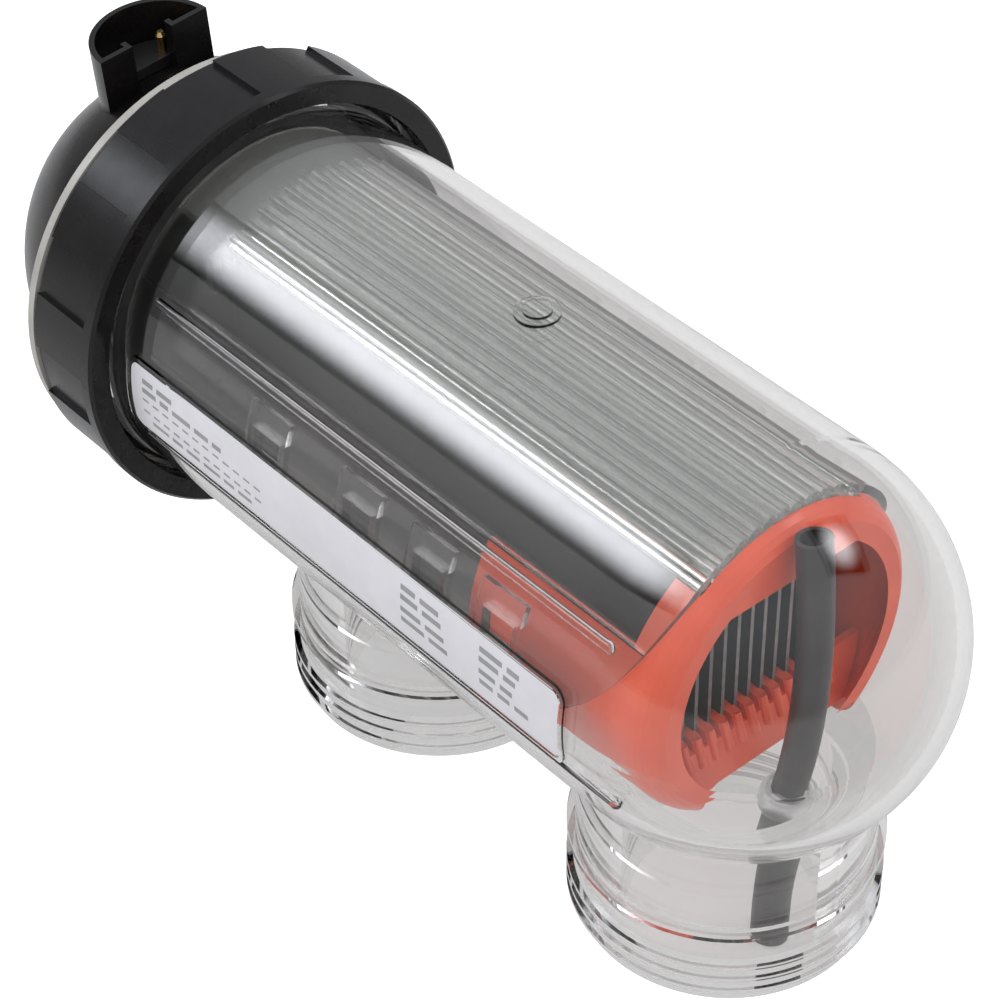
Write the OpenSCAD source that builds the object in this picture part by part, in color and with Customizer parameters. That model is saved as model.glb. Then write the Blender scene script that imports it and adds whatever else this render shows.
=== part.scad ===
// Salt chlorine generator: a clear cell housing on two barrel-union ports, with an electrode
// cartridge that is held by a union nut and withdraws along the tube.
// Along X, every station is measured from the axis of the dome-side port.

/* [Housing] */
// Height of the tube axis above the port rims
axis_h = 83.4; // [82:0.2:88]
// Distance between the two port axes
port_pitch = 104.5; // [102:0.5:107]
// Outside radius of the clear tube and of its dome
tube_r = 50.5; // [50.2:0.1:50.8]
// Wall of the clear tube
tube_wall = 3.5; // [3.4:0.1:3.6]
// Reach of the dome past the dome-side port axis
dome_reach = 52.8; // [52:0.2:54]
// Reach of the end cap past the dome-side port axis
cap_reach = 240; // [238:1:242]

/* [Ports] */
// Radius of the plain port rim
port_rim_r = 35.6; // [35:0.1:36]
// Crest radius of the port thread
port_crest_r = 37.6; // [37.2:0.1:38]
// Radius of the port bore
port_bore_r = 24.5; // [23:0.5:25]

/* [Union nut] */
// Radius of the smooth band on the nut
nut_band_r = 59.2; // [58.8:0.2:60]
// Number of grip pads round the nut
nut_pads = 12; // [8:1:16]

/* [Cartridge] */
// Outside radius of the clear cassette
cassette_r = 43; // [42.6:0.1:43.2]
// Number of electrode plates
plate_count = 11; // [11]
// Distance between neighbouring plates
plate_pitch = 4.1; // [3.9:0.05:4.1]
// Thickness of a plate
plate_t = 1; // [0.6:0.1:1.2]

/* [Bleed tube] */
// Outside radius of the gas bleed tube
bleed_r = 4.1; // [4:0.1:4.4]
// Bore radius of the gas bleed tube
bleed_bore_r = 3; // [2.8:0.1:3.2]

/* [Hidden] */
$fn = 96;
eps = 0.5;
far = 200;
fit_gap = 0.05;
chamfer = 0.8;

// The origin is midway between the cap's tip and the dome's tip
port_x = (cap_reach - dome_reach) / 2;
tube_bore_r = tube_r - tube_wall;
dome_x = dome_reach - tube_r;

// Port thread: three rounded crests and a stop collar
port_crest_z = [4.6, 8.5, 12.4];
crest_foot = 2.7;
crest_flat = 1.1;
collar_z = 21.6;
collar_h = 2.4;
port_top_z = axis_h - 23;

// Threaded neck under the nut
neck_end = -179.7;
neck_crest_r = 53;
neck_crest_x = [-176.5, -172.3, -168.1];

// Features moulded on the tube
bead_r = 1.5;
bead_ends = [-154, 5];
bead_angle = 30.5;
rail_angle = -12.6;
rail_ends = [-154, 13.5];
bead_sink = 0.6;
gate_x = -66.8;
gate_r = 5.5;
gate_tip_r = 3.5;
gate_foot = 1.5;
gate_h = 2.2;
gate_tip_h = 2.9;
label_ends = [-158.5, -3.2];
label_half_h = 9.6;
label_corner = 2.6;
label_t = 0.3;
label_margin = 0.3;
label_field = [-165, 3];
label_field_angle = 20;
lip_w = 1.3;
lip_h = 0.7;

// Union nut
nut_face = -164;
nut_back = -189.4;
nut_seat = -184.5;
nut_body_r = 57.4;
nut_pad_r = 58.7;
nut_pad_ends = [-188, -168.5];
nut_pad_angle = 15;
nut_pad_start = 1;
nut_pad_bite = 0.2;
nut_band_slope = 0.6;
nut_bore_r = 53.45;
nut_root_r = 54.6;
nut_lip_bore_r = 46.05;

// Electrode head, with its stations from the cap side to the plates
hub_r = 46;
hub_end = -192;
flange_r = 52.6;
flange_ends = [-184.2, -180];
plug_r = 46.7;
plug_end = -170;
groove_r = 44.4;
groove_ends = [-177.4, -174];
o_ring_r = 1.28;
spigot_r = 40.9;
spigot_end = -164;
pocket_r = 38;
pocket_floor = -184;
thrust_ring_r = 56.4;
thrust_ring_shift = 1.6;
thrust_ring_ends = [-192, -189.7];

// End cap and its plug shroud
cap_r = 50;
cap_wall = 2.5;
cap_x = cap_r - cap_reach;
shroud_x = -204.7;
shroud_y = -3.2;
shroud_base = 30;
shroud_top = 60.2;
shroud_lean = 4.5;
shroud_pivot = 45;
shroud_r = 16.3;
shroud_wall = 1.5;
shroud_curl_l = 2.2;
shroud_slot = [-6.6, 5.4];
socket_h = 49;
socket_gap = 0.3;
socket_front = 4.5;
pin_r = 1.5;
pin_top = 55;
pin_bottom = 33.5;
pin_spacing = 12;
pin_inset = 6.9;
pin_point_h = 1;
pin_point_r = 0.8;

// Terminals
stud_r = 3;
stud_ends = [-200, -161];
stud_z = 20;
washer_r = 6.2;
washer_t = 1;
nut_hex_r = 6;
nut_t = 4;
lead_r = 2.3;
sleeve_l = 5.1;
sleeve_t = 0.9;
lead_stop = 0.6;
potting_ends = [-192, -190];
seat_gap = 0.02;

// Busbars and plates
busbar_x = -161;
busbar_t = 3;
busbar_half_w = 23;
tab_half_h = 5;
plate_back = -152;
plate_front = 4.6;
plate_low = -33;
plate_high = 35.4;

// Cassette shells
cassette_wall = 1.8;
cassette_bore_r = cassette_r - cassette_wall;
cassette_back = -169.7;
cassette_front = 12;
parting = 31;
parting_gap = 0.25;
end_curve_x = -45;
end_curve_z = 43;
end_curve_r = 57.9;
end_space_half = 60;
rib_w = 2.3;
rib_drop = 2.2;
rib_sink = 0.6;
rib_ends = [-150, 11.5];
ridge_r = 1.1;
ridge_sink = 0.4;
ridge_ends = [-150, 12.7];
clip_x = [-112, -78.5, -53.5, -29.5];
clip_half_w = 7.2;
clip_window_w = 10.4;
clip_angles = [-1, 22];
window_angles = [2, 14];
clip_r = 44.6;
clip_sink = 0.4;
inlet_r = 22;
inlet_depth = 50;

// Plate holder
holder_r = 40.9;
holder_bore_r = 39.2;
skirt_back = -41;
ring_back = 5.2;
ring_front = 11.9;
ring_gap_angle = 54;
flare_x = 9;
flare_turn = 62;
flare_steps = 5;
nose_r = 36.4;
nose_bore_r = 32;
nose_end = 16;
flare_inset = 1.4;
beam_low = 25;
beam_back = 12.1;
beam_inset = 0.6;
notch_x = 2;
notch_half_w = 24;
notch_top = -26.4;
comb_x = 4.9;
comb_top = -16.4;
comb_low = -29;
comb_foot = -26;
comb_reach = 9.8;
comb_t = 2;
comb_end_r = 37.8;
comb_tooth = 3.5;
comb_tooth_w = 2.4;
comb_slot = 3.2;
comb_slot_w = 1.5;
comb_sink = 0.4;
flute_r = 1.15;
flute_l = 7.5;

// Gas bleed tube: a long bow under the dome, and a counter-bow down the port
bow_r = 218;
bow_x = 23.2 - bow_r;
bow_z = 5;
bow_top = 9.3;
bow_turn = -11.5;
counter_r = 200;
counter_x = bow_x + (bow_r + counter_r) * cos(bow_turn);
counter_z = bow_z + (bow_r + counter_r) * sin(bow_turn);
counter_end = 1.2;
bleed_step = 0.05;
sealant_angle = -12;
sealant_r = 6.6;
sealant_reach = 4;
sealant_gap = 0.25;

// Frame on the tube axis: its Z runs along the tube, its X points to the front
module tube_frame()
  translate([port_x, 0, axis_h]) rotate([0, 90, 0]) rotate([0, 0, -90]) children();

// Frame on the tube axis with the axes of the whole object
module axis_frame()
  translate([port_x, 0, axis_h]) children();

// Revolves an outline of (radius, station) about the tube axis
module revolve()
  tube_frame() rotate_extrude() children();

// Part of a ring between two stations, with its angles from the front and upwards
module ring_sector(r_in, r_out, ends, low, high)
  tube_frame()
    translate([0, 0, ends[0]])
      rotate([0, 0, -high])
        rotate_extrude(angle = high - low)
          translate([r_in, 0])
            square([r_out - r_in, ends[1] - ends[0]]);

// Rod along the tube at one angle, with round ends
module surface_bead(r, ends, angle, depth)
  tube_frame() rotate([0, 0, -angle]) translate([depth, 0, 0]) {
    translate([0, 0, ends[0]]) cylinder(r = r, h = ends[1] - ends[0], $fn = 32);
    for (end = ends) translate([0, 0, end]) sphere(r = r + 0.01, $fn = 32);
  }

// Outline of the tube and its dome, at a given radius
module tube_outline(r, back) {
  translate([0, back]) square([r, dome_x - back]);
  intersection() {
    translate([0, dome_x]) circle(r = r);
    translate([0, dome_x - eps]) square([r + eps, r + 2 * eps]);
  }
}

// Outline of one rounded thread crest standing on a core
module crest_outline(core_r, crest_r, station)
  polygon([
    [core_r - eps, station - crest_foot / 2],
    [core_r, station - crest_foot / 2],
    [crest_r, station - crest_flat / 2],
    [crest_r, station + crest_flat / 2],
    [core_r, station + crest_foot / 2],
    [core_r - eps, station + crest_foot / 2]
  ]);

module port_body(x)
  translate([port_x + x, 0, 0]) {
    rotate_extrude() {
      square([port_rim_r, port_top_z]);
      for (z = port_crest_z) crest_outline(port_rim_r, port_crest_r, z);
      translate([port_rim_r - eps, collar_z]) square([port_crest_r - port_rim_r + eps, collar_h]);
    }
  }

module port_bore(x)
  translate([port_x + x, 0, -eps]) cylinder(r = port_bore_r, h = port_top_z + eps);

// Flat rounded rectangle in the plane of the tube axis, reaching out to the front
module front_panel(ends, half_h, corner)
  translate([port_x, 0, axis_h]) rotate([90, 0, 0]) linear_extrude(tube_r + 2) {
    translate([ends[0] + corner, -half_h]) square([ends[1] - ends[0] - 2 * corner, 2 * half_h]);
    translate([ends[0], corner - half_h]) square([ends[1] - ends[0], 2 * (half_h - corner)]);
    for (x = [ends[0] + corner, ends[1] - corner], z = [corner - half_h, half_h - corner])
      translate([x, z]) circle(r = corner, $fn = 32);
  }

module label_lip() {
  inner = [label_ends[0] - label_margin, label_ends[1] + label_margin];
  outer = [inner[0] - lip_w, inner[1] + lip_w];
  difference() {
    intersection() {
      ring_sector(tube_r - eps, tube_r + lip_h, label_field, -label_field_angle, label_field_angle);
      front_panel(outer, label_half_h + label_margin + lip_w, label_corner + lip_w);
    }
    front_panel(inner, label_half_h + label_margin, label_corner);
  }
}

module cell_housing() color([0.86, 0.88, 0.9, 0.35])
  difference() {
    union() {
      revolve() tube_outline(tube_r, neck_end);
      revolve() for (x = neck_crest_x) crest_outline(tube_r, neck_crest_r, x);
      for (x = [0, -port_pitch]) port_body(x);
      surface_bead(bead_r, bead_ends, bead_angle, tube_r - bead_sink);
      surface_bead(bead_r, rail_ends, rail_angle, tube_r - bead_sink);
      label_lip();
      axis_frame() translate([gate_x, 0, tube_r - gate_foot]) {
        cylinder(r = gate_r, h = gate_h);
        cylinder(r = gate_tip_r, h = gate_tip_h);
      }
    }
    revolve() tube_outline(tube_bore_r, neck_end - eps);
    for (x = [0, -port_pitch]) port_bore(x);
  }

module rating_label() color("white")
  intersection() {
    ring_sector(tube_r + fit_gap, tube_r + fit_gap + label_t, label_field,
      -label_field_angle, label_field_angle);
    front_panel(label_ends, label_half_h, label_corner);
  }

// Revolves a section about a centre in the upright plane of the tube axis
module upright_arc(centre, arc_r, low, high)
  axis_frame() translate([centre[0], 0, centre[1]]) rotate([90, 0, 0]) rotate([0, 0, low])
    rotate_extrude(angle = high - low) translate([arc_r, 0]) children();

module gas_bleed_tube() color("#1c1c1e") {
  upright_arc([bow_x, bow_z], bow_r, bow_turn, bow_top) bleed_section(0);
  upright_arc([counter_x, counter_z], counter_r, 180 + bow_turn, 180 + counter_end)
    bleed_section(bleed_step);
}

// Section of the tube wall, thicker by a small step where the counter-bow begins
module bleed_section(step)
  difference() {
    circle(r = bleed_r + step);
    circle(r = bleed_bore_r - step);
  }

module tube_sealant() color([0.8, 0.8, 0.82, 0.5])
  difference() {
    axis_frame()
      translate([bow_x + bow_r * cos(sealant_angle), 0, bow_z + bow_r * sin(sealant_angle)])
        sphere(r = sealant_r);
    upright_arc([bow_x, bow_z], bow_r, bow_turn - sealant_reach, bow_turn + sealant_reach)
      circle(r = bleed_r + sealant_gap);
  }

module union_nut() color("#17171a")
  difference() {
    union() {
      revolve() polygon([
        [0, nut_back], [nut_body_r - chamfer, nut_back], [nut_body_r, nut_back + chamfer],
        [nut_body_r, nut_pad_ends[1]], [nut_band_r, nut_pad_ends[1] + nut_band_slope],
        [nut_band_r, nut_face - chamfer], [nut_band_r - chamfer, nut_face], [0, nut_face]
      ]);
      for (i = [0 : nut_pads - 1]) {
        start = i * 360 / nut_pads + nut_pad_start;
        ring_sector(nut_body_r - eps, nut_pad_r, [nut_pad_ends[0], nut_pad_ends[1] + nut_pad_bite],
          start, start + nut_pad_angle);
      }
    }
    revolve() translate([0, nut_back - eps]) square([nut_lip_bore_r, nut_seat - nut_back + 2 * eps]);
    revolve() translate([0, nut_seat]) square([nut_bore_r, nut_face - nut_seat + eps]);
    revolve() for (x = neck_crest_x) crest_outline(nut_bore_r, nut_root_r, x);
  }

// The washer sits a little towards the front on its hub
module thrust_ring() color("#c9c6bf")
  tube_frame() translate([0, 0, thrust_ring_ends[0]])
    linear_extrude(thrust_ring_ends[1] - thrust_ring_ends[0]) difference() {
      translate([thrust_ring_shift, 0]) circle(r = thrust_ring_r);
      circle(r = hub_r);
    }

module stud_place(side)
  axis_frame() translate([0, 0, side * stud_z]) rotate([0, 90, 0]) children();

// Clearance holes for both studs, right through a piece
module stud_holes()
  for (side = [-1, 1])
    stud_place(side) translate([0, 0, -far])
      cylinder(r = stud_r + fit_gap, h = far + spigot_end + eps, $fn = 48);

module electrode_head() color("#b9b7b2")
  difference() {
    revolve() difference() {
      union() {
        translate([0, hub_end]) square([hub_r, flange_ends[0] - hub_end + eps]);
        translate([0, flange_ends[0]]) square([flange_r, flange_ends[1] - flange_ends[0]]);
        translate([0, flange_ends[1] - eps]) square([plug_r, plug_end - flange_ends[1] + eps]);
        translate([0, plug_end - eps]) square([spigot_r, spigot_end - plug_end + eps]);
      }
      translate([groove_r, groove_ends[0]]) square([plug_r, groove_ends[1] - groove_ends[0]]);
      translate([0, hub_end - eps]) square([pocket_r, pocket_floor - hub_end + eps]);
    }
    stud_holes();
  }

module head_o_ring() color("#222222")
  revolve() translate([tube_bore_r - fit_gap - o_ring_r, (groove_ends[0] + groove_ends[1]) / 2])
    circle(r = o_ring_r, $fn = 32);

// Frame at the middle of the shroud's flat wall: Z runs up its leaning walls
module shroud_frame()
  axis_frame() translate([shroud_x, shroud_y, shroud_pivot]) rotate([shroud_lean, 0, 0])
    translate([0, 0, -shroud_pivot]) children();

// Shroud outline: a flat wall towards the nut, and half a circle behind it
module shroud_outline(inset)
  intersection() {
    circle(r = shroud_r - inset);
    translate([-2 * shroud_r, -shroud_r]) square([2 * shroud_r - inset, 2 * shroud_r]);
  }

// Lip that curls back into the shroud beside the slot
module shroud_curl(y)
  translate([-shroud_wall - shroud_curl_l + eps, y - shroud_wall / 2]) square([shroud_curl_l, shroud_wall]);

module shroud()
  shroud_frame() translate([0, 0, shroud_base]) linear_extrude(shroud_top - shroud_base) {
    difference() {
      shroud_outline(0);
      shroud_outline(shroud_wall);
      translate([-2 * shroud_wall, shroud_slot[0]])
        square([4 * shroud_wall, shroud_slot[1] - shroud_slot[0]]);
    }
    shroud_curl(shroud_slot[0] - shroud_wall / 2);
    shroud_curl(shroud_slot[1] + shroud_wall / 2);
  }

module pin_places()
  shroud_frame() for (side = [-1, 1])
    translate([-pin_inset, side * pin_spacing / 2, 0]) children();

module cap_ball(r)
  axis_frame() translate([cap_x, 0, 0]) sphere(r = r);

module head_cap() color("#141417")
  difference() {
    union() {
      difference() {
        cap_ball(cap_r);
        axis_frame() translate([thrust_ring_ends[0], -far / 2, -far / 2]) cube(far);
      }
      shroud();
    }
    cap_ball(cap_r - cap_wall);
    pin_places() cylinder(r = pin_r + fit_gap, h = shroud_top, $fn = 32);
  }

module plug_socket() color("#0f0f10")
  difference() {
    shroud_frame() translate([0, 0, shroud_base])
      linear_extrude(socket_h - shroud_base) intersection() {
        shroud_outline(shroud_wall + socket_gap);
        translate([-shroud_r, -shroud_r]) square([shroud_r - socket_front, 2 * shroud_r]);
      }
    cap_ball(cap_r + fit_gap);
    pin_places() cylinder(r = pin_r + fit_gap, h = shroud_top, $fn = 32);
  }

module plug_pins() color("#b08d57")
  pin_places() translate([0, 0, pin_bottom]) {
    cylinder(r = pin_r, h = pin_top - pin_bottom - pin_point_h, $fn = 32);
    translate([0, 0, pin_top - pin_bottom - pin_point_h])
      cylinder(r1 = pin_r, r2 = pin_point_r, h = pin_point_h, $fn = 32);
  }

// Insulated lead, straight from a stud's end to the foot of a plug pin
module lead(side) {
  lean = shroud_lean;
  along = side * pin_spacing / 2;
  foot = [
    shroud_x - pin_inset,
    shroud_y + along * cos(lean) + (shroud_pivot - pin_bottom) * sin(lean),
    shroud_pivot - (shroud_pivot - pin_bottom) * cos(lean) + along * sin(lean)
  ];
  sleeve_end = stud_ends[0] - 2 * fit_gap;
  start = [sleeve_end - sleeve_l / 2, 0, side * stud_z];
  run = foot - start;
  length = norm(run);
  axis_frame() {
    translate([sleeve_end - sleeve_l, 0, side * stud_z])
      rotate([0, 90, 0]) cylinder(r = lead_r + sleeve_t, h = sleeve_l, $fn = 32);
    translate(start)
      rotate([0, acos(run[2] / length), atan2(run[1], run[0])])
        cylinder(r = lead_r, h = length - lead_r - lead_stop, $fn = 32);
  }
}

module anode_lead() color("#a3231c") lead(1);

module cathode_lead() color("#202022") lead(-1);

module potting() color("#3a3a3c")
  difference() {
    revolve() translate([0, potting_ends[0]])
      square([pocket_r - fit_gap, potting_ends[1] - potting_ends[0]]);
    stud_holes();
  }

module stud(side)
  stud_place(side) translate([0, 0, stud_ends[0]])
    cylinder(r = stud_r, h = stud_ends[1] - stud_ends[0], $fn = 48);

module anode_stud() color("#9a9a98") stud(1);

module cathode_stud() color("#9a9a98") stud(-1);

module terminal_washers() color("#a8a8a4")
  for (side = [-1, 1]) stud_place(side) translate([0, 0, pocket_floor - washer_t - seat_gap])
    difference() {
      cylinder(r = washer_r, h = washer_t, $fn = 48);
      translate([0, 0, -eps]) cylinder(r = stud_r + fit_gap, h = washer_t + 2 * eps, $fn = 48);
    }

module terminal_nuts() color("#a8a8a4")
  for (side = [-1, 1]) stud_place(side)
    translate([0, 0, pocket_floor - washer_t - nut_t - 2 * seat_gap])
    difference() {
      cylinder(r = nut_hex_r, h = nut_t, $fn = 6);
      translate([0, 0, -eps]) cylinder(r = stud_r + fit_gap, h = nut_t + 2 * eps, $fn = 48);
    }

module busbar(side)
  axis_frame() translate([busbar_x, -busbar_half_w, side * stud_z - tab_half_h])
    cube([busbar_t, 2 * busbar_half_w, 2 * tab_half_h]);

module anode_busbar() color("#8f8f8c") busbar(1);

module cathode_busbar() color("#8f8f8c") busbar(-1);

// Plates are numbered from the front; odd ones tab to the upper busbar, even ones to the lower
module plate(number) color("#4a484a") {
  y = (number - (plate_count + 1) / 2) * plate_pitch;
  side = number % 2 == 1 ? 1 : -1;
  tab_x = busbar_x + busbar_t;
  axis_frame() translate([0, y - plate_t / 2, 0]) {
    translate([plate_back, 0, plate_low])
      cube([plate_front - plate_back, plate_t, plate_high - plate_low]);
    translate([tab_x, 0, side * stud_z - tab_half_h])
      cube([plate_back - tab_x + eps, plate_t, 2 * tab_half_h]);
  }
}

// Space kept by the curved front end of the cassette
module cassette_end_space()
  axis_frame() {
    translate([cassette_back - eps, -end_space_half, -end_space_half])
      cube([end_curve_x - eps - cassette_back, 2 * end_space_half, 2 * end_space_half]);
    translate([end_curve_x, end_space_half, end_curve_z])
      rotate([90, 0, 0]) cylinder(r = end_curve_r, h = 2 * end_space_half);
  }

// Ribs between the plates, from just inside the plates' edges into the shell wall
module plate_ribs(side)
  axis_frame() for (i = [0 : plate_count]) {
    y = (i - plate_count / 2) * plate_pitch;
    edge = side > 0 ? plate_high : -plate_low;
    outer = sqrt(pow(cassette_r - rib_sink, 2) - pow(abs(y) + rib_w / 2, 2));
    low = side > 0 ? edge - rib_drop : -outer;
    translate([rib_ends[0], y - rib_w / 2, low])
      cube([rib_ends[1] - rib_ends[0], rib_w, outer - edge + rib_drop]);
  }

// Round ridges on the outside of the upper shell, over the gaps between the plates
module shell_ridges()
  for (i = [0 : plate_count]) {
    y = (i - plate_count / 2) * plate_pitch;
    axis_frame() translate([ridge_ends[0], y, sqrt(pow(cassette_r - ridge_sink, 2) - y * y)])
      rotate([0, 90, 0]) cylinder(r = ridge_r, h = ridge_ends[1] - ridge_ends[0], $fn = 24);
  }

// Both sides of the tube, for a feature given on the front side
module both_sides(low, high, r_in, r_out, ends) {
  ring_sector(r_in, r_out, ends, low, high);
  ring_sector(r_in, r_out, ends, 180 - high, 180 - low);
}

module cassette_shell(low, high)
  ring_sector(cassette_bore_r, cassette_r, [cassette_back, cassette_front], low, high);

module clip_windows()
  for (x = clip_x)
    both_sides(window_angles[0], window_angles[1], cassette_bore_r - eps, clip_r + eps,
      [x - clip_window_w / 2, x + clip_window_w / 2]);

module cassette_upper() color([0.8, 0.82, 0.84, 0.4])
  intersection() {
    union() {
      cassette_shell(parting + parting_gap, 180 - parting - parting_gap);
      plate_ribs(1);
      shell_ridges();
    }
    cassette_end_space();
  }

module cassette_lower() color([0.66, 0.64, 0.62, 0.5])
  difference() {
    intersection() {
      union() {
        cassette_shell(180 + parting_gap - parting, 360 + parting - parting_gap);
        plate_ribs(-1);
        for (x = clip_x)
          both_sides(clip_angles[0], clip_angles[1], cassette_r - clip_sink, clip_r,
            [x - clip_half_w, x + clip_half_w]);
      }
      cassette_end_space();
    }
    clip_windows();
    axis_frame() translate([-port_pitch, 0, -end_space_half]) cylinder(r = inlet_r, h = inlet_depth);
  }

// Wall of the holder: a straight skirt, a ring in the cassette's mouth and a rounded flare to the nose
module holder_outline()
  polygon(concat(
    [[holder_bore_r, skirt_back], [holder_r, skirt_back]],
    [for (i = [0 : flare_steps]) flare_point(i, holder_r, nose_r, flare_x)],
    [for (i = [flare_steps : -1 : 0])
      flare_point(i, holder_bore_r, nose_bore_r, ring_back + flare_inset)]
  ));

// Point on a quarter oval that turns from a straight wall into the nose's rim
function flare_point(i, r_from, r_to, x_from) =
  let (a = flare_turn * i / flare_steps)
    [
      r_from - (r_from - r_to) * (1 - cos(a)) / (1 - cos(flare_turn)),
      x_from + (nose_end - x_from) * sin(a) / sin(flare_turn)
    ];

// Cross beam that flattens the top of the mouth, kept inside the nose's wall
module mouth_beam()
  intersection() {
    side_profile([
      [beam_back, beam_low], [nose_end - chamfer, beam_low], [nose_end - fit_gap, beam_low + chamfer],
      [nose_end - fit_gap, holder_r], [beam_back, holder_r]
    ], 2 * holder_r);
    revolve() polygon(concat(
      [[0, 0]],
      [for (i = [0 : flare_steps]) flare_point(i, holder_r - beam_inset, nose_r - beam_inset, flare_x)],
      [[0, nose_end]]
    ));
  }

// Plate across the object with a given side outline
module side_profile(points, width)
  axis_frame() translate([0, width / 2, 0]) rotate([90, 0, 0]) linear_extrude(width) polygon(points);

// Ramp across the notch: slotted for the plates, with teeth behind it and flutes down its front
module comb() {
  lean = atan2(comb_reach - comb_x, comb_top - comb_low);
  difference() {
    intersection() {
      side_profile([
        [comb_x, comb_top], [comb_x + comb_t, comb_top],
        [comb_reach + comb_t, comb_low], [comb_reach, comb_low]
      ], 2 * comb_end_r);
      revolve() square([comb_end_r, nose_end]);
    }
    for (i = [1 : plate_count])
      translate([0, (i - (plate_count + 1) / 2) * plate_pitch, 0])
        side_profile([
          [comb_x - eps, comb_top + eps], [nose_end, comb_top + eps],
          [nose_end, comb_top - comb_slot], [comb_x - eps, comb_top - comb_slot]
        ], comb_slot_w);
  }
  for (i = [0 : plate_count])
    translate([0, (i - plate_count / 2) * plate_pitch, 0]) {
      side_profile([
        [comb_x - comb_tooth, comb_top - comb_sink], [comb_x + comb_sink, comb_top - comb_sink],
        [comb_reach, comb_foot], [comb_x - comb_tooth, comb_foot]
      ], comb_tooth_w);
      axis_frame() translate([comb_x + comb_t, 0, comb_top]) rotate([0, 180 - lean, 0])
        cylinder(r = flute_r, h = flute_l, $fn = 24);
    }
}

module plate_holder() color("#d8401f")
  union() {
    difference() {
      revolve() holder_outline();
      ring_sector(nose_bore_r - 2 * eps, holder_r + eps, [skirt_back - eps, ring_back],
        parting, 180 - parting);
      ring_sector(nose_bore_r - eps, holder_r + 2 * eps, [ring_back - eps, ring_front],
        ring_gap_angle, 180 - ring_gap_angle);
      axis_frame() translate([notch_x, -notch_half_w, notch_top - holder_r])
        cube([holder_r, 2 * notch_half_w, holder_r]);
    }
    mouth_beam();
    comb();
  }

cell_housing();
rating_label();
gas_bleed_tube();
tube_sealant();
union_nut();
thrust_ring();
electrode_head();
head_o_ring();
head_cap();
plug_socket();
plug_pins();
anode_lead();
cathode_lead();
potting();
anode_stud();
cathode_stud();
terminal_nuts();
terminal_washers();
anode_busbar();
cathode_busbar();
plate(1);  // plate_01
plate(2);  // plate_02
plate(3);  // plate_03
plate(4);  // plate_04
plate(5);  // plate_05
plate(6);  // plate_06
plate(7);  // plate_07
plate(8);  // plate_08
plate(9);  // plate_09
plate(10);  // plate_10
plate(11);  // plate_11
cassette_upper();
cassette_lower();
plate_holder();
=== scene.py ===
"""Looks of the salt chlorine generator: clear shell, black nut and cap, and the electrode cartridge inside."""
import itertools
import math

import bpy
from mathutils import Matrix, Vector


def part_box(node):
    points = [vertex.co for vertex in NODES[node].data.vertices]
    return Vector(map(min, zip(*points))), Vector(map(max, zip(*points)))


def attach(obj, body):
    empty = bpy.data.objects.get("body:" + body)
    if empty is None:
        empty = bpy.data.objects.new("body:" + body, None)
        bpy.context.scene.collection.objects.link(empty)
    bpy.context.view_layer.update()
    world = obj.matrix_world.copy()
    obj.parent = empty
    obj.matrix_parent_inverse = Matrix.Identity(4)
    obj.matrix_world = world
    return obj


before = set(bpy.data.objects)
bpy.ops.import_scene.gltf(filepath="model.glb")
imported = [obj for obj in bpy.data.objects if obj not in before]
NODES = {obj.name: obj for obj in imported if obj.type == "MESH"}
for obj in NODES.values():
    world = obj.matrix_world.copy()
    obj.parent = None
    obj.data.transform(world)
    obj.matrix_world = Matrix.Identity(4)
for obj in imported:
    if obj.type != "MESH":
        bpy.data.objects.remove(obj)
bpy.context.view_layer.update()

MM = 0.001
PLATES = sorted(name for name in NODES if name.startswith("plate_") and name[-1].isdigit())
SHELLS = ("cell_housing", "cassette_upper", "cassette_lower", "tube_sealant")

# Sizes of part.scad that this script needs. Stations along the tube are in mm from the dome-side port's axis.
DOME_END = 52.8
DOME_INNER_END = 49.3
CAP_END = -240
CAP_INNER_END = -237.5
TUBE_Z = 83.4 * MM
LABEL_R = 50.85 * MM
CLEAR_HALF_WIDTH = 23.6 * MM
PORT_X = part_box("cell_housing")[1][0] - DOME_END * MM


# ---------- node helpers ----------

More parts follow.
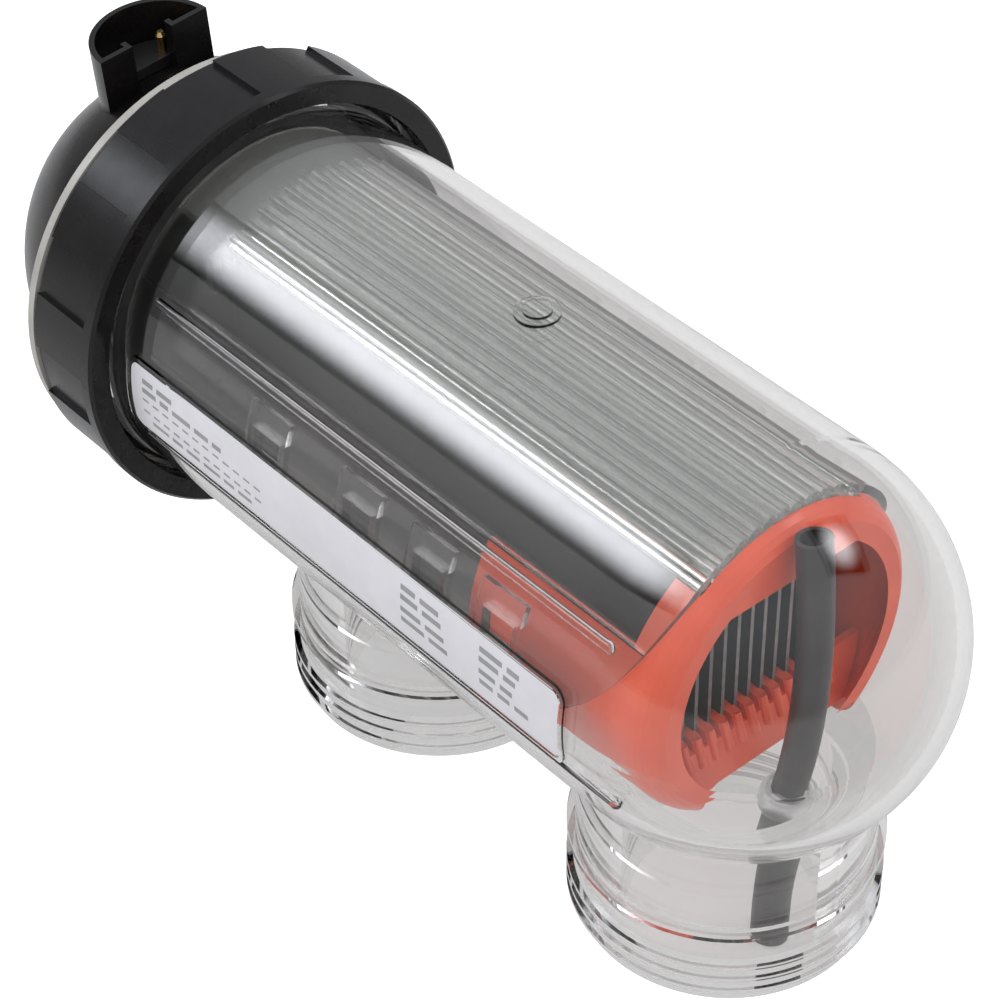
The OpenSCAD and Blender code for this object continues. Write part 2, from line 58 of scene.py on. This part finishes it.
class Shader:
    """A small builder for one node material."""

    def __init__(self, name):
        self.material = bpy.data.materials.new(name)
        self.material.use_nodes = True
        self.tree = self.material.node_tree
        self.tree.nodes.clear()
        self.output = self.node("ShaderNodeOutputMaterial")
        self.coords = self.node("ShaderNodeTexCoord")

    def node(self, kind, **settings):
        made = self.tree.nodes.new(kind)
        for key, value in settings.items():
            setattr(made, key, value)
        return made

    def link(self, source, target):
        self.tree.links.new(source, target)

    def mapped(self, scale=(1, 1, 1)):
        mapping = self.node("ShaderNodeMapping")
        mapping.inputs["Scale"].default_value = scale
        self.link(self.coords.outputs["Object"], mapping.inputs["Vector"])
        return mapping.outputs["Vector"]

    def noise(self, scale, detail=4.0, stretch=(1, 1, 1), roughness=0.55):
        texture = self.node("ShaderNodeTexNoise")
        texture.inputs["Scale"].default_value = scale
        texture.inputs["Detail"].default_value = detail
        texture.inputs["Roughness"].default_value = roughness
        self.link(self.mapped(stretch), texture.inputs["Vector"])
        return texture.outputs["Fac"]

    def ramp(self, factor, stops):
        ramp = self.node("ShaderNodeValToRGB")
        elements = ramp.color_ramp.elements
        while len(elements) < len(stops):
            elements.new(0.5)
        for element, (place, colour) in zip(elements, stops):
            element.position = place
            element.color = (*colour, 1.0) if len(colour) == 3 else colour
        self.link(factor, ramp.inputs["Fac"])
        return ramp.outputs["Color"]

    def range(self, factor, low, high):
        spread = self.node("ShaderNodeMapRange")
        spread.inputs["To Min"].default_value = low
        spread.inputs["To Max"].default_value = high
        self.link(factor, spread.inputs["Value"])
        return spread.outputs["Result"]

    def math(self, operation, *values):
        made = self.node("ShaderNodeMath", operation=operation)
        for socket, value in zip(made.inputs, values):
            if isinstance(value, (int, float)):
                socket.default_value = value
            else:
                self.link(value, socket)
        return made.outputs["Value"]

    def axis(self, output, letter):
        """One component of a texture coordinate."""
        parts = self.node("ShaderNodeSeparateXYZ")
        self.link(self.coords.outputs[output], parts.inputs["Vector"])
        return parts.outputs[letter]

    def bump(self, height, strength, distance):
        bump = self.node("ShaderNodeBump")
        bump.inputs["Strength"].default_value = strength
        bump.inputs["Distance"].default_value = distance
        self.link(height, bump.inputs["Height"])
        return bump.outputs["Normal"]

    def principled(self, **values):
        made = self.node("ShaderNodeBsdfPrincipled")
        for key, value in values.items():
            made.inputs[key.replace("_", " ")].default_value = value
        self.link(made.outputs["BSDF"], self.output.inputs["Surface"])
        return made


def grey(value):
    return (value, value, value)


def moulded(name, dark, light, roughness, *, grain=0.05, coat=0.0, specular=0.5):
    """Moulded plastic: faint mottling, uneven gloss and a fine grain."""
    s = Shader(name)
    bsdf = s.principled(Coat_Weight=coat, Coat_Roughness=0.12, Specular_IOR_Level=specular)
    s.link(s.ramp(s.noise(90, 5), [(0.3, dark), (0.75, light)]), bsdf.inputs["Base Color"])
    s.link(s.range(s.noise(160, 4), roughness * 0.8, roughness * 1.25), bsdf.inputs["Roughness"])
    s.link(s.bump(s.noise(1400, 2), grain, 0.0002), bsdf.inputs["Normal"])
    return s.material


def clear_plastic(name, tint, roughness, ior=1.49, haze=0.0, haze_half_width=0.0):
    """Clear moulded plastic, with flow marks that bend what is seen through it and fine scuffs on its skin.

    haze is how milky it is within haze_half_width of the middle plane.
    """
    s = Shader(name)
    bsdf = s.principled(IOR=ior, Transmission_Weight=1.0)
    flow = s.noise(14, 3, (0.35, 1, 1))
    lighter = tuple(min(1.0, channel + 0.03) for channel in tint)
    s.link(s.ramp(flow, [(0.2, tint), (0.9, lighter)]), bsdf.inputs["Base Color"])
    scuffs = s.math("GREATER_THAN", s.noise(420, 6, (0.12, 1, 0.5), 0.7), 0.68)
    s.link(s.math("MULTIPLY_ADD", scuffs, 0.1, roughness), bsdf.inputs["Roughness"])
    s.link(s.bump(flow, 0.06, 0.002), bsdf.inputs["Normal"])
    if haze:
        inside = s.math("LESS_THAN", s.math("ABSOLUTE", s.axis("Object", "Y")), haze_half_width)
        s.link(s.math("SUBTRACT", 1.0, s.math("MULTIPLY", inside, haze)), bsdf.inputs["Transmission Weight"])
    return s.material


def plate_metal(name):
    """Dark coated faces, with a painted highlight: a lighter colour on every edge face of a plate."""
    s = Shader(name)
    bsdf = s.principled(Metallic=0.6)
    grain = s.noise(420, 5, (0.2, 1, 1))
    face = s.ramp(grain, [(0.25, grey(0.02)), (0.8, grey(0.05))])
    # Painted highlight: every edge face of a plate gets a lighter colour than its dark faces, for the light
    # lines along the edges
    painted_edge_highlight = s.ramp(grain, [(0.25, (0.16, 0.155, 0.145)), (0.8, (0.34, 0.33, 0.31))])
    edge = s.math("LESS_THAN", s.math("ABSOLUTE", s.axis("Normal", "Y")), 0.5)
    # A Mix node has sockets for every type, and the colour ones come third
    mix = s.node("ShaderNodeMix", data_type="RGBA")
    s.link(edge, mix.inputs["Factor"])
    s.link(face, mix.inputs[6])
    s.link(painted_edge_highlight, mix.inputs[7])
    s.link(mix.outputs[2], bsdf.inputs["Base Color"])
    s.link(s.range(grain, 0.3, 0.45), bsdf.inputs["Roughness"])
    s.link(s.bump(grain, 0.08, 0.0002), bsdf.inputs["Normal"])
    return s.material


def metal(name, dark, light, roughness, stretch=(1, 1, 1)):
    """Bare metal with a fine grain, drawn out along stretch."""
    s = Shader(name)
    bsdf = s.principled(Metallic=1.0)
    grain = s.noise(420, 5, stretch)
    s.link(s.ramp(grain, [(0.25, dark), (0.8, light)]), bsdf.inputs["Base Color"])
    s.link(s.range(s.noise(60, 4, stretch), roughness * 0.8, roughness * 1.3), bsdf.inputs["Roughness"])
    s.link(s.bump(grain, 0.08, 0.0002), bsdf.inputs["Normal"])
    return s.material


def give(material, *names):
    for name in names:
        node = NODES[name]
        node.data.materials.clear()
        node.data.materials.append(material)


# ---------- materials ----------

give(clear_plastic("clear_shell", (0.875, 0.862, 0.85), 0.01), "cell_housing")
give(clear_plastic("clear_cassette", (0.86, 0.87, 0.83), 0.09, haze=0.07, haze_half_width=CLEAR_HALF_WIDTH),
     "cassette_upper")
give(clear_plastic("smoke_cassette", (0.80, 0.78, 0.76), 0.16), "cassette_lower")
give(clear_plastic("sealant", (0.9, 0.9, 0.9), 0.2, 1.41), "tube_sealant")
give(moulded("black_plastic", (0.004, 0.0033, 0.0033), (0.008, 0.0066, 0.0066), 0.27, specular=0.26),
     "union_nut", "head_cap")
give(moulded("socket_plastic", grey(0.008), grey(0.016), 0.5), "plug_socket")
give(moulded("pale_plastic", (0.27, 0.26, 0.24), (0.36, 0.35, 0.32), 0.42), "thrust_ring")
give(moulded("grey_plastic", grey(0.03), grey(0.06), 0.4), "electrode_head")
give(moulded("orange_plastic", (0.74, 0.078, 0.026), (0.83, 0.11, 0.04), 0.34, coat=0.2), "plate_holder")
give(moulded("black_rubber", (0.024, 0.021, 0.021), (0.042, 0.038, 0.038), 0.42, grain=0.1),
     "gas_bleed_tube", "head_o_ring")
give(moulded("potting_resin", grey(0.02), grey(0.05), 0.2), "potting")
give(moulded("red_insulation", (0.35, 0.02, 0.015), (0.5, 0.04, 0.03), 0.4), "anode_lead")
give(moulded("black_insulation", grey(0.012), grey(0.03), 0.4), "cathode_lead")
give(moulded("label_film", (0.52, 0.51, 0.53), (0.57, 0.56, 0.58), 0.35, grain=0.02), "rating_label")
give(plate_metal("coated_plate"), *PLATES)
give(metal("titanium", (0.32, 0.31, 0.30), (0.5, 0.48, 0.46), 0.35, (0.2, 1, 1)),
     "anode_stud", "cathode_stud", "terminal_nuts", "terminal_washers", "anode_busbar", "cathode_busbar")
give(metal("brass_contact", (0.6, 0.4, 0.16), (0.78, 0.55, 0.25), 0.22), "plug_pins")
# Light reaches what is inside: a clear shell would otherwise shade it almost like a solid one
for name in SHELLS:
    NODES[name].visible_shadow = False


def mend_poles(name, *balls):
    """Shade the one point at the end of a ball like the faces round it. Each ball is (station, side)."""
    node = NODES[name]
    home = node.matrix_world.inverted()
    tree = bpy.data.node_groups.new(name + "_poles", "GeometryNodeTree")
    tree.interface.new_socket("Geometry", in_out="INPUT", socket_type="NodeSocketGeometry")
    tree.interface.new_socket("Geometry", in_out="OUTPUT", socket_type="NodeSocketGeometry")
    start = tree.nodes.new("NodeGroupInput")
    end = tree.nodes.new("NodeGroupOutput")
    place = tree.nodes.new("GeometryNodeInputPosition")
    shading = tree.nodes.new("GeometryNodeInputNormal").outputs["Normal"]
    for station, side in balls:
        away = tree.nodes.new("ShaderNodeVectorMath")
        away.operation = "DISTANCE"
        away.inputs[1].default_value = home @ Vector((PORT_X + station * MM, 0, TUBE_Z))
        tree.links.new(place.outputs["Position"], away.inputs[0])
        near = tree.nodes.new("ShaderNodeMath")
        near.operation = "LESS_THAN"
        near.inputs[1].default_value = 0.1 * MM
        tree.links.new(away.outputs["Value"], near.inputs[0])
        # The vector sockets of a Mix node come second, after the number ones
        pick = tree.nodes.new("ShaderNodeMix")
        pick.data_type = "VECTOR"
        pick.inputs[5].default_value = home.to_3x3() @ Vector((side, 0, 0))
        tree.links.new(near.outputs["Value"], pick.inputs[0])
        tree.links.new(shading, pick.inputs[4])
        shading = pick.outputs[1]
    mend = tree.nodes.new("GeometryNodeSetMeshNormal")
    mend.mode = "FREE"
    mend.domain = "CORNER"
    tree.links.new(start.outputs[0], mend.inputs["Mesh"])
    tree.links.new(shading, mend.inputs["Custom Normal"])
    tree.links.new(mend.outputs["Mesh"], end.inputs[0])
    node.modifiers.new("pole_shading", "NODES").node_group = tree


mend_poles("cell_housing", (DOME_END, 1), (DOME_INNER_END, -1))
mend_poles("head_cap", (CAP_END, -1), (CAP_INNER_END, 1))


# ---------- label marks ----------

def label_marks():
    """Plain grey dashes in rows where a rating label carries its print. Their places and sizes are in mm."""
    ink, gap = 0.02, 1.6
    verts, faces = [], []

    def dash(start, length, low, high):
        base = len(verts)
        for r in (LABEL_R, LABEL_R + ink * MM):
            for x, z in ((start, low), (start + length, low), (start + length, high), (start, high)):
                angle = math.asin(z * MM / r)
                verts.append((PORT_X + x * MM, -r * math.cos(angle), TUBE_Z + r * math.sin(angle)))
        for quad in ((4, 5, 6, 7), (3, 2, 1, 0), (0, 1, 5, 4), (1, 2, 6, 5), (2, 3, 7, 6), (3, 0, 4, 7)):
            faces.append([base + corner for corner in quad])

    def row(place, end, low, height, lengths):
        for length in itertools.cycle(lengths):
            if place + length > end:
                break
            dash(place, length, low, low + height)
            place += length + gap

    row(-154, -138, 5.2, 1.4, (4.2, 6.0))
    row(-154, -122, 2.6, 1.4, (5.5, 3.4, 7.2))
    row(-154, -104, -3.4, 4.2, (2.4,))
    row(-151, -110, -6.4, 1.2, (6.4, 4.0, 5.2))
    for number, low in enumerate((5.0, 2.2, -1.4, -4.6)):
        row(-56, -37, low, 1.5, (5.0 + number, 6.4))
        row(-29, -12, low, 1.5, (7.5 - number, 4.0))

    mesh = bpy.data.meshes.new("label_marks")
    mesh.from_pydata(verts, [], faces)
    marks = bpy.data.objects.new("label_marks", mesh)
    bpy.context.scene.collection.objects.link(marks)
    mesh.materials.append(moulded("label_ink", grey(0.20), grey(0.28), 0.5, grain=0.02))
    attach(marks, "housing")


# ---------- floor, lights and camera ----------

def flat_stage(name, material, half_x, half_y):
    """A flat rectangle that isn't part of the object."""
    mesh = bpy.data.meshes.new(name)
    corners = [(-half_x, -half_y, 0), (half_x, -half_y, 0), (half_x, half_y, 0), (-half_x, half_y, 0)]
    mesh.from_pydata(corners, [], [(0, 1, 2, 3)])
    made = bpy.data.objects.new(name, mesh)
    bpy.context.scene.collection.objects.link(made)
    mesh.materials.append(material)
    return made


def make_floor():
    """White paper that the camera sees evenly lit, and everything else sees a little darker."""
    glow, extra_seen_directly, half = 0.36, 0.6, 3.0
    s = Shader("floor_paper")
    bsdf = s.principled(Roughness=0.9, Emission_Color=(1, 1, 1, 1))
    s.link(s.ramp(s.noise(3, 3), [(0.2, grey(0.34)), (0.8, grey(0.36))]), bsdf.inputs["Base Color"])
    seen = s.node("ShaderNodeLightPath").outputs["Is Camera Ray"]
    s.link(s.math("ADD", s.math("MULTIPLY", seen, extra_seen_directly), glow), bsdf.inputs["Emission Strength"])
    flat_stage("floor", s.material, half, half)


def softbox(name, direction, distance, half_long, half_wide, strength, colour):
    """Glowing oval panel that fades to nothing at its rim, so that reflections of it have soft edges."""
    s = Shader(name)
    squares = [s.math("POWER", s.math("DIVIDE", s.axis("Object", letter), half), 2.0)
               for letter, half in (("X", half_long), ("Y", half_wide))]
    inside = s.math("MAXIMUM", s.math("SUBTRACT", 1.0, s.math("ADD", *squares)), 0.0)
    glow = s.node("ShaderNodeEmission")
    glow.inputs["Color"].default_value = (*colour, 1)
    s.link(s.math("MULTIPLY", s.math("POWER", inside, 2.0), strength), glow.inputs["Strength"])
    s.link(glow.outputs["Emission"], s.output.inputs["Surface"])
    panel = flat_stage(name, s.material, half_long, half_wide)
    aim = Vector((0, 0, 80 * MM))
    back = -Vector(direction).normalized()
    along = (Vector((1, 0, 0)) - back.x * back).normalized()
    turn = Matrix((along, back.cross(along), back)).transposed()
    panel.matrix_world = Matrix.Translation(aim - distance * back) @ turn.to_4x4()
    panel.visible_camera = False
    panel.visible_shadow = False


def make_camera():
    """The photograph's viewpoint: on the right of the label side, looking down the tube from the dome end."""
    azimuth, elevation, roll = (math.radians(angle) for angle in (49.45, 40.87, -0.69))
    distance = 0.7462
    target = Vector((PORT_X - 80.5 * MM, 0, 69.6 * MM))
    back = Vector((math.sin(azimuth) * math.cos(elevation),
                   -math.cos(azimuth) * math.cos(elevation),
                   math.sin(elevation)))
    data = bpy.data.cameras.new("camera")
    data.lens = 111.8
    data.sensor_width = 36
    data.clip_start = 0.01
    camera = bpy.data.objects.new("camera", data)
    turn = back.to_track_quat("Z", "Y") @ Matrix.Rotation(roll, 3, "Z").to_quaternion()
    camera.rotation_euler = turn.to_euler()
    camera.location = target + distance * back
    bpy.context.scene.collection.objects.link(camera)
    bpy.context.scene.camera = camera


def make_world():
    """Even light for matt surfaces. Gloss and clear plastic show a room that darkens towards the ground."""
    world = bpy.data.worlds.new("studio")
    bpy.context.scene.world = world
    world.use_nodes = True
    tree = world.node_tree
    even = tree.nodes["Background"]
    even.inputs["Color"].default_value = (0.97, 0.98, 1.0, 1)
    even.inputs["Strength"].default_value = 1.45
    room = tree.nodes.new("ShaderNodeBackground")
    coords = tree.nodes.new("ShaderNodeTexCoord")
    parts = tree.nodes.new("ShaderNodeSeparateXYZ")
    shade = tree.nodes.new("ShaderNodeValToRGB")
    low, high = shade.color_ramp.elements
    low.position, low.color = 0.05, (0.42, 0.41, 0.42, 1)
    high.position, high.color = 0.75, (0.80, 0.83, 0.88, 1)
    tree.links.new(coords.outputs["Generated"], parts.inputs["Vector"])
    tree.links.new(parts.outputs["Z"], shade.inputs["Fac"])
    tree.links.new(shade.outputs["Color"], room.inputs["Color"])
    path = tree.nodes.new("ShaderNodeLightPath")
    mix = tree.nodes.new("ShaderNodeMixShader")
    scattered = tree.nodes.new("ShaderNodeMath")
    scattered.operation = "GREATER_THAN"
    scattered.inputs[1].default_value = 0.5
    tree.links.new(path.outputs["Diffuse Depth"], scattered.inputs[0])
    tree.links.new(scattered.outputs["Value"], mix.inputs["Fac"])
    tree.links.new(room.outputs["Background"], mix.inputs[1])
    tree.links.new(even.outputs["Background"], mix.inputs[2])
    tree.links.new(mix.outputs["Shader"], tree.nodes["World Output"].inputs["Surface"])


label_marks()
make_floor()
make_world()
softbox("key_light", (-0.57, -0.49, 0.65), 1.6, 1.1, 0.42, 7.0, (0.90, 0.93, 1.0))
softbox("top_light", (0.38, 0.56, 0.73), 1.5, 0.34, 0.28, 8.0, (0.94, 0.96, 1.0))
make_camera()
bpy.context.scene.view_settings.view_transform = "Standard"
